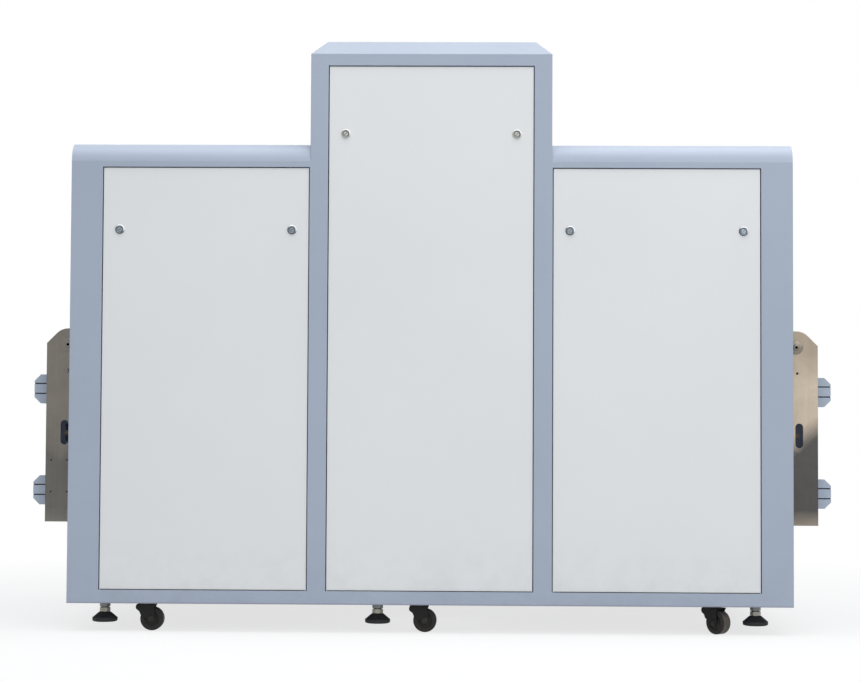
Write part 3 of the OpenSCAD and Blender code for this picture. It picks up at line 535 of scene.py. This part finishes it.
def booleaned(piece, tool, operation):
    modifier = piece.modifiers.new("cut", "BOOLEAN")
    modifier.operation, modifier.object, modifier.solver = operation, tool, "EXACT"
    applyAll(piece)
    dropped(tool)
    return piece


def hexNut(name, across, height):
    # a hex bar whose corners are turned off at both ends
    corner, chamfer = across / 3 ** 0.5, 0.047 * across
    deselectAll()
    bpy.ops.mesh.primitive_cylinder_add(vertices=6, radius=corner, depth=height,
                                        location=(0, 0, height / 2), rotation=(0, 0, radians(30)))
    bpy.ops.object.transform_apply(location=True, rotation=True, scale=True)
    nut = bpy.context.object
    nut.name = nut.data.name = name
    cone = turned("nutCone", (1.02 * corner, height - 2 * chamfer), [(chamfer, 0.47 * across)],
                  [(chamfer, 0.47 * across)], 48)
    cone.data.transform(Matrix.Translation((0, 0, chamfer)))
    booleaned(nut, cone, "INTERSECT")
    smoothed(nut, 25)
    return nut


def bar(name, size, place, soften=0.0):
    # a block shaped in edit mode, its edges rounded
    deselectAll()
    bpy.ops.mesh.primitive_cube_add(size=1, location=place)
    piece = bpy.context.object
    piece.name = piece.data.name = name
    bpy.ops.object.mode_set(mode="EDIT")
    bpy.ops.mesh.select_all(action="SELECT")
    bpy.ops.transform.resize(value=size, center_override=place)
    if soften:
        bpy.ops.mesh.bevel(offset=soften, segments=2, affect="EDGES")
    bpy.ops.object.mode_set(mode="OBJECT")
    bpy.ops.object.transform_apply(location=True, rotation=True, scale=True)
    return piece


def grooved(name, size, place, way, depth):
    # a bar with a shallow channel pressed into the face that looks along Y the given way
    piece = bar(name, size, place)
    pickFaces(piece, lambda face: face.normal.y * way > 0.9)
    bpy.ops.mesh.inset(thickness=depth)
    bpy.ops.transform.translate(value=(0, -way * depth, 0))
    bpy.ops.object.mode_set(mode="OBJECT")
    return piece


def facing(direction, place):
    # stands a piece that was made along Z at its place, pointing the given way
    turn = Vector((0, 0, 1)).rotation_difference(Vector(direction)).to_matrix().to_4x4()
    return Matrix.Translation(Vector(place)) @ turn


# levelling feet

foot = {"padHeight": 0.031, "coneTop": 0.0192, "hexAcross": 0.030, "hexHeight": 0.0145,
        "stemRadius": 0.010, "pitch": 0.0025}


def makeFeet():
    low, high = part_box("front_left_foot")
    r, t = (high.x - low.x) / 2, foot["coneTop"]
    pad = turned("footPad", (r - 0.0064, 0.0004),
                 [(0.0008, r - 0.0026), (0.0014, r - 0.0009), (0.0026, r - 0.0001), (0.0072, r),
                  (0.0010, r - 0.0006), (0.0008, r - 0.0022), (foot["padHeight"] - 0.0160, t + 0.0014),
                  (0.0010, t + 0.0002), (0.0008, t - 0.0022)], [(0, 0.024), (-0.0012, 0.022)], 64, 40)
    hexPart = hexNut("footHex", foot["hexAcross"], foot["hexHeight"])
    hexPart.data.transform(Matrix.Translation((0, 0, foot["padHeight"])))
    base = foot["padHeight"] + foot["hexHeight"]
    turns = int((high.z - low.z - base) / foot["pitch"])
    s, p = foot["stemRadius"], foot["pitch"]
    thread = [(0.30 * p, s), (0.20 * p, s), (0.50 * p, s - 0.0011)] * (turns - 1)
    stem = turned("footStem", (s - 0.0011, 0.0006), thread, (), 32, 20)
    stem.data.transform(Matrix.Translation((0, 0, base)))
    stem = joined([stem, hexPart])
    for side in sides:
        for column in columns:
            node = f"{side}_{column}_foot"
            low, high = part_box(node)
            place = Matrix.Translation(((low.x + high.x) / 2, (low.y + high.y) / 2, low.z))
            dressed(copied(pad, f"{node}_pad", place), finishes["foot_rubber"], f"{node}_body",
                    [node])
            dressed(copied(stem, f"{node}_stem", place), finishes["footZinc"], f"{node}_body")
    nut = hexNut("jamNut", foot["hexAcross"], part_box("foot_jam_nuts")[1].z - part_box("foot_jam_nuts")[0].z)
    nuts = []
    for side in sides:
        for column in columns:
            low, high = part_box(f"{side}_{column}_foot")
            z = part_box("foot_jam_nuts")[0].z
            place = Matrix.Translation(((low.x + high.x) / 2, (low.y + high.y) / 2, z))
            nuts.append(copied(nut, "jamNut", place))
    nuts = joined(nuts, "jam_nuts")
    dressed(nuts, finishes["nutZinc"], "cabinet", ["foot_jam_nuts"])
    for start in (pad, stem, nut):
        dropped(start)


# caster wheels

wheel = {"shoulder": 0.0042, "dish": 0.0226, "hub": 0.0122, "bore": 0.0064}


def wheelWidth():
    low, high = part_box("front_middle_wheel")
    return high.y - low.y


def makeWheels():
    low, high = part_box("front_middle_wheel")
    r, w = (high.z - low.z) / 2, wheelWidth()
    d, h = wheel["dish"], wheel["hub"]
    flank = [(0.0014, r - 0.0003), (0.0012, r - 0.0012), (0.0010, r - 0.0027), (0.0006, r - 0.0047),
             (0, d + 0.0006), (-0.0008, d - 0.0004), (-0.0022, d - 0.0012), (-0.0004, d - 0.0022),
             (0, h + 0.0006), (0.0016, h), (0.0008, h - 0.0009), (0, 0.0086), (-0.0008, 0.0080),
             (0, wheel["bore"])]
    part = turned("wheel", (r, w - 2 * wheel["shoulder"]), flank, flank, 72, 28)
    part.data.transform(Matrix.Translation((0, 0, wheel["shoulder"] - w / 2)))
    dust = part.data.attributes.new("dust", "FLOAT", "POINT")
    for i, vertex in enumerate(part.data.vertices):
        dust.data[i].value = 1.0 if Vector(vertex.co[:2]).length > r - 0.0008 else 0.0
    axisOf = {joint["child"]: joint["axis"] for joint in frame["joints"]}
    for side in sides:
        for column in columns:
            node = f"{side}_{column}_wheel"
            low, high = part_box(node)
            place = facing(axisOf[f"{node}_body"], (low + high) / 2)
            dressed(copied(part, f"{node}_tyre", place), finishes["wheel_rubber"], f"{node}_body",
                    [node])
    dropped(part)


axleBolt = {"cheek": 0.0055, "flange": 0.0108, "flangeThick": 0.0016, "across": 0.0125,
            "height": 0.0062, "stand": 0.0001}


def makeAxleBolts():
    # a flanged bolt head on one cheek of every fork and its nut on the other, over the axle's plain ends
    a = axleBolt
    head = hexNut("axleBoltHead", a["across"], a["height"])
    rim = turned("axleBoltFlange", (a["flange"], a["flangeThick"]),
                 [(0.0004, a["flange"] - 0.0004), (0.0006, a["flange"] - 0.0026)], (), 40)
    head = joined([head, rim])
    axisOf = {joint["child"]: joint for joint in frame["joints"]}
    for side in sides:
        for column in columns:
            joint = axisOf[f"{side}_{column}_wheel_body"]
            low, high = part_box(f"{side}_{column}_wheel")
            axis, centre = Vector(joint["axis"]), (low + high) / 2
            reach = wheelWidth() / 2 + a["cheek"] + a["stand"]
            ends = [copied(head, "axleBolt", facing(axis * way, centre + axis * way * reach))
                    for way in (-1, 1)]
            ends = joined(ends, f"{side}_{column}_axle_bolt")
            dressed(ends, finishes["axleBolt"], f"{side}_{column}_swivel")
    dropped(head)


# cam locks

lock = {"ring": 0.015, "proud": 0.005, "mouth": 0.0104, "bore": 0.0072, "body": 0.010, "nutAcross": 0.026,
        "bezel": 0.0030}
# for each lock row: painted highlight and painted shade tones for the bezels, then the face's own colour
lockPaintedLightAndFace = {"wing": ((0.95, 0.97, 1.0), (0.085, 0.095, 0.11), (0.155, 0.19, 0.225)),
            "middle": ((0.95, 0.96, 0.97), (0.50, 0.50, 0.47), (0.19, 0.196, 0.184))}


def makeLocks():
    # the bezel is a ring of its own round the face, so that each has its own painted highlight and shade
    low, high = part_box("middle_lock_housings")
    deep = high.y - low.y
    r, m, f = lock["ring"], lock["mouth"], lock["ring"] - lock["bezel"]
    part = turned("lockFace", (f, lock["proud"] - 0.0010),
                  [(0.0002, f - 0.0004), (0, m + 0.0008), (-0.0004, m), (-0.0010, m - 0.0012),
                   (-0.0002, lock["bore"]), (-0.0016, lock["bore"])],
                  [(0, lock["body"]), (deep - lock["proud"] - 0.0006, lock["body"]),
                   (0.0006, lock["body"] - 0.0006),
                   (0, lock["bore"]), (-0.004, lock["bore"])], 56, 30)
    part.data.transform(Matrix.Translation((0, 0, 0.0006 - lock["proud"])))
    bezel = turned("lockBezel", (r, 0.0014),
                   [(0.0009, r - 0.0003), (0.0010, r - 0.0009), (0.0011, r - 0.0017), (0.0002, f + 0.0001),
                    (-0.0018, f), (-0.0020, f)], [(0, f)], 56, 50)
    bezel.data.transform(Matrix.Translation((0, 0, -0.0046)))
    nut = hexNut("lockNut", lock["nutAcross"], 0.005)
    nut.data.transform(Matrix.Translation((0, 0, -0.0122)))
    part = joined([part, nut])
    for column in columns:
        node = f"{column}_lock_housings"
        low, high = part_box(node)
        z = (low.z + high.z) / 2
        bright, dull, face = lockPaintedLightAndFace["middle" if column == "middle" else "wing"]
        centres = {"left": low.x + lock["ring"], "right": high.x - lock["ring"]}
        places = [facing((0, -1, 0), (x, low.y, z)) for x in centres.values()]
        faces = joined([copied(part, "lock", place) for place in places], f"{column}_lock_faces")
        dressed(faces, polished(f"{column}LockFace", face, 0.26), f"{column}_panel", [node])
        for (end, x), place in zip(centres.items(), places):
            name = f"{column}_{end}_lock_bezel"
            dressed(copied(bezel, name, place), bezelPaintedHighlight(name, x, z, bright, dull),
                    f"{column}_panel")
    dropped(part)
    dropped(bezel)


# axle ends, guide screws and adjusters on the end plates

endHardware = {"washer": 0.022, "washerThick": 0.004, "head": 0.0105, "socket": 0.0046, "shaft": 0.0175,
               "shaftNeck": 0.0125, "shaftLength": (0.002, 0.9), "plateClear": 0.0045, "guideHead": 0.0077,
               "guideIn": 0.003, "guideUp": 0.495, "adjusterAcross": 0.013, "adjusterUp": 0.291,
               "adjusterOut": 0.0475, "adjusterIn": 0.062}


def makeEndHardware():
    low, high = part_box("end_axles")
    plateLow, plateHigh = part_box("conveyor_plates")
    w, t, h = endHardware["washer"], endHardware["washerThick"], endHardware["head"]
    washer = turned("axleWasher", (w, t - 0.0008), [(0.0005, w - 0.0003), (0.0003, w - 0.0010)], (), 64)
    head = turned("axleHead", (h, 0.0012), [(0.0009, h - 0.0006), (0.0006, h - 0.0020),
                                            (0.0003, endHardware["socket"] + 0.0012), (0, endHardware["socket"]),
                                            (-0.0062, endHardware["socket"] - 0.0004)], (), 48, 40)
    head.data.transform(Matrix.Translation((0, 0, t)))
    cap = joined([washer, head])
    collar, length = endHardware["shaftLength"]
    neck = endHardware["shaftNeck"]
    shaft = turned("axleShaft", (endHardware["shaft"], collar), [(0, neck), (length, neck)], (), 40)
    axleZ = (low.z + high.z) / 2
    half = plateHigh.y
    bits = []
    for x in (low.x + w, high.x - w):
        for way in (-1, 1):
            bits.append(copied(cap, "cap", facing((0, way, 0), (x, way * half, axleZ))))
            reach = half - endHardware["plateClear"]
            bits.append(copied(shaft, "shaft", facing((0, -way, 0), (x, way * reach, axleZ))
                               @ Matrix.Diagonal((1, 1, reach / (collar + length), 1))))
    bits = joined(bits, "axle_ends")
    outwards(bits)
    smoothed(bits)
    dressed(bits, finishes["washerSteelPaintedReflection"], "cabinet", ["end_axles"])

    g = endHardware["guideHead"]
    dome = turned("guideDome", (g, 0.0010), [(0.0012, g - 0.0005), (0.0010, g - 0.0017), (0.0007, g - 0.0034),
                                             (0.0001, 0.0036), (0, 0.0032), (-0.0026, 0.0028)],
                  [(0, 0.0038), (0.006, 0.0036)], 40, 50)
    guideX, guideZ = low.x + w - endHardware["guideIn"], plateLow.z + endHardware["guideUp"]
    domes = joined([copied(dome, "dome", facing((0, way, 0), (guideX, way * half, guideZ)))
                    for way in (-1, 1)], "guide_screws")
    dressed(domes, finishes["screwSteel"], "cabinet")

    bolt = hexNut("adjusterHead", endHardware["adjusterAcross"], 0.0055)
    bolt.data.transform(Matrix.Translation((0, 0, 0.0014)))
    rest = turned("adjusterWasher", (0.0084, 0.0010), [(0.0004, 0.0080)],
                  [(0, 0.004), (0.0055, 0.0038)], 40)
    bolt = joined([bolt, rest])
    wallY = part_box("end_aprons")[1].y - endHardware["adjusterIn"]
    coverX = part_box("end_covers")[1].x
    bolts = [copied(bolt, "bolt", facing((0, way, 0), (end * (coverX + endHardware["adjusterOut"]), way * wallY,
                                                        plateLow.z + endHardware["adjusterUp"])))
             for way in (-1, 1) for end in (-1, 1)]
    bolts = joined(bolts, "adjuster_bolts")
    dressed(bolts, finishes["yellowZinc"], "cabinet")
    for start in (cap, shaft, dome, bolt):
        dropped(start)


rivetNut = {"radius": 0.0048, "bore": 0.0026, "length": 0.013, "seat": 0.0039}


def makeRivetNuts():
    # closed nuts behind the four tapped holes of the left front plate
    hole = next(mount for mount in frame["record"]["mounts"] if mount["name"] == "plate_pattern")
    centre, size = hole["pos_m"], hole["dims"]
    r, bore, length = (rivetNut[key] for key in ("radius", "bore", "length"))
    nut = turned("rivetNut", (r, length), [(0.0006, r - 0.0006)],
                 [(0, bore), (-(length - 0.003), bore), (-0.0008, bore * 0.4)], 24, 40)
    nuts = [copied(nut, "rivetNut", facing((0, 1, 0), (centre[0] + i * size["spacing_x_mm"] / 2000,
                                                        centre[1] + rivetNut["seat"],
                                                        centre[2] + k * size["spacing_y_mm"] / 2000)))
            for i in (-1, 1) for k in (-1, 1)]
    nuts = joined(nuts, "rivet_nuts")
    dressed(nuts, finishes["screwSteel"], "cabinet")
    dropped(nut)


slotShadeStrip = {"high": 0.0038, "deep": 0.010, "inset": 0.0008, "start": 0.010, "back": 0.003,
             "lap": 0.020, "groove": 0.0008, "centres": (0.344, 0.6875)}


def makeSlotShadeStrips():
    # a near-black strip closes the outer side of every slot in the coupling blocks, clear of the pin bore: painted
    # shade that darkens the slots
    s = slotShadeStrip
    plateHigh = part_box("conveyor_plates")[1]
    strips = []
    for node in ("lower_coupling_blocks", "upper_coupling_blocks"):
        low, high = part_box(node)
        fromX, toX = plateHigh.x - s["lap"] + s["start"], high.x - s["inset"]
        for end in (-1, 1):
            for side in (-1, 1):
                for rise in s["centres"]:
                    place = (end * (fromX + toX) / 2, side * (high.y - s["back"] - s["deep"] / 2),
                             low.z + rise * (high.z - low.z))
                    size = (toX - fromX, s["deep"], s["high"])
                    strips.append(grooved("strip", size, place, side, s["groove"]))
    strips = joined(strips, "slot_shade_strips")
    smoothed(strips, 30)
    dressed(strips, finishes["shadeBlack"], "cabinet")


# curtains: lead-rubber strips that hang on the rod by riveted loops

curtain = {"strips": 10, "thick": 0.0035, "gap": 0.0014, "tab": 0.024, "neck": 0.012, "rodClear": 0.0002,
           "corner": 0.009, "curls": (0.0, 0.0035, -0.0022, 0.0015, -0.0035), "meet": 68, "over": 0.001,
           "seat": 0.0001, "rivetRadius": 0.0042, "rivetOut": 0.27, "rivetDown": 0.55}


def makeStrip(width, drop, rod, curl):
    # the tab's upper edge is spun round the rod, drawn down and then given its thickness
    t, neck, tab = curtain["thick"], curtain["neck"], curtain["tab"]
    mid, side, meet = rod + curtain["rodClear"] + t / 2, t / 2 + 0.00005, radians(curtain["meet"])
    deselectAll()
    bpy.ops.mesh.primitive_plane_add(size=1, location=(side, 0, -neck - tab / 2),
                                     rotation=(0, radians(90), 0))
    strip = bpy.context.object
    strip.scale = (tab, width, 1)
    bpy.ops.object.transform_apply(location=True, rotation=True, scale=True)
    pickEdges(strip, lambda a, b: min(a.z, b.z) > -neck - 1e-5)
    bpy.ops.mesh.extrude_region_move(TRANSFORM_OT_translate={
        "value": (mid * cos(meet) - side, 0, neck - mid * sin(meet))})
    bpy.ops.mesh.spin(steps=16, angle=pi + 2 * meet, center=(0, 0, 0), axis=(0, -1, 0))
    bpy.ops.mesh.extrude_region_move(TRANSFORM_OT_translate={
        "value": (mid * cos(meet) - side, 0, mid * sin(meet) - neck)})
    length = tab + 2 * Vector((mid * cos(meet) - side, neck - mid * sin(meet))).length + (pi + 2 * meet) * mid
    steps, x, z = 14, -side, -neck
    for i in range(1, steps + 1):
        u = i / steps
        newX = -side * max(0, 1 - 3 * u) + curl * (u ** 2 - 0.35 * sin(pi * u))
        newZ = -neck - u * (drop - neck)
        bpy.ops.mesh.extrude_region_move(TRANSFORM_OT_translate={"value": (newX - x, 0, newZ - z)})
        length += Vector((newX - x, newZ - z)).length
        x, z = newX, newZ
    bpy.ops.object.mode_set(mode="OBJECT")
    lowest = min(v.co.z for v in strip.data.vertices)
    pickEdges(strip, lambda a, b: max(a.z, b.z) < lowest + 1e-5)
    bpy.ops.mesh.select_mode(type="VERT")
    bpy.ops.mesh.bevel(offset=curtain["corner"], segments=3, affect="VERTICES")
    bpy.ops.object.mode_set(mode="OBJECT")
    outwards(strip)
    modifier = strip.modifiers.new("thickness", "SOLIDIFY")
    modifier.thickness, modifier.offset = t, 0
    applyAll(strip)
    smoothed(strip, 40)
    return strip, length


def makeCurtains():
    t = curtain["thick"]
    mouthLow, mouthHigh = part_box("left_curtain")
    span = mouthHigh.y - mouthLow.y + 2 * curtain["over"]
    pitch = span / curtain["strips"]
    width = pitch - curtain["gap"]
    r = curtain["rivetRadius"]
    dome = turned("rivet", (r, 0.0006),
                  [(0.0006, r - 0.0004), (0.0005, r - 0.0014), (0.0002, r - 0.0028)], (), 24, 60)
    for end, way in (("left", -1), ("right", 1)):
        low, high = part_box(f"{end}_curtain")
        axis = Vector(jointOf[f"{end}_curtain_swing"]["pos_m"])
        drop, rod = axis.z - low.z, (high.x - low.x) / 2 - t - curtain["seat"]
        models = [makeStrip(width, drop, rod, curl) for curl in curtain["curls"]]
        turn = Matrix.Rotation(0 if way > 0 else pi, 4, "Z")
        strips, rivets = [], []
        for i in range(curtain["strips"]):
            y = low.y - curtain["over"] + (i + 0.5) * pitch
            place = Matrix.Translation((axis.x, y, axis.z)) @ turn
            strips.append(copied(models[(3 * i + (way > 0)) % 5][0], "strip", place))
            for across in (-curtain["rivetOut"], curtain["rivetOut"]):
                for x, normal in ((t + curtain["seat"], 1), (-t - curtain["seat"], -1)):
                    spot = place @ Vector((x, across * width,
                                           -curtain["neck"] - curtain["rivetDown"] * curtain["tab"]))
                    facingOut = turn.to_3x3() @ Vector((normal, 0, 0))
                    rivets.append(copied(dome, "rivet", facing(facingOut, spot)))
        strips = joined(strips, f"{end}_curtain_strips")
        rivets = joined(rivets, f"{end}_curtain_rivets")
        dressed(strips, finishes["lead_rubber"], f"{end}_curtain_body", [f"{end}_curtain"])
        dressed(rivets, finishes["zinc"], f"{end}_curtain_body")
        for model, _ in models:
            dropped(model)
    dropped(dome)


panelGapShade = {"thick": 0.0012, "high": 0.0017, "above": 0.0005, "short": 0.003, "lap": 0.0002,
             "groove": 0.0004}


def makePanelGapShades():
    # a near-black strip along the foot of each front panel, just clear of the sill when the panel tilts: painted
    # shade for the dark gap under the panel
    t = panelGapShade
    for column in columns:
        low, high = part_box(f"{column}_front_panel")
        place = ((low.x + high.x) / 2, low.y - (t["thick"] - t["lap"]) / 2,
                 low.z + t["above"] + t["high"] / 2)
        size = (high.x - low.x - 2 * t["short"], t["thick"] + t["lap"], t["high"])
        gapShade = grooved(f"{column}_panel_gap_shade", size, place, -1, t["groove"])
        smoothed(gapShade, 30)
        dressed(gapShade, finishes["shadeBlack"], f"{column}_panel")


# power inlet: three flat pins in the socket

inlet = {"pin": (0.0020, 0.009, 0.0045), "spread": 0.007}


def makeInletPins():
    low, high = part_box("power_inlet")
    x, z = (low.x + high.x) / 2, (low.z + high.z) / 2
    pins = [bar("pin", inlet["pin"], (x + dx, high.y - 0.0085, z + dz), 0.0005)
            for dx, dz in ((-inlet["spread"], -0.001), (0, 0.0022), (inlet["spread"], -0.001))]
    pins = joined(pins, "inlet_pins")
    dressed(pins, finishes["zinc"], "cabinet")


def dressCadNodes():
    for entry in frame["record"]["subparts"]:
        name = entry["node"]
        core = "paleCore" if name.startswith("middle") else "lockCore"
        finish = ownFinish.get(name, core if name.endswith("_cam") else entry["material_slot"])
        node = frame["nodes"][name]
        node.data.materials.clear()
        node.data.materials.append(finishes[finish])


makeCamera()
makeStage()
dressCadNodes()
print("stage, camera and finishes ready")
makeFeet()
makeWheels()
makeAxleBolts()
print("feet and wheels ready")
makeLocks()
makeEndHardware()
makeRivetNuts()
makeSlotShadeStrips()
makePanelGapShades()
makeInletPins()
print("locks and end hardware ready")
makeCurtains()
print("curtains ready")
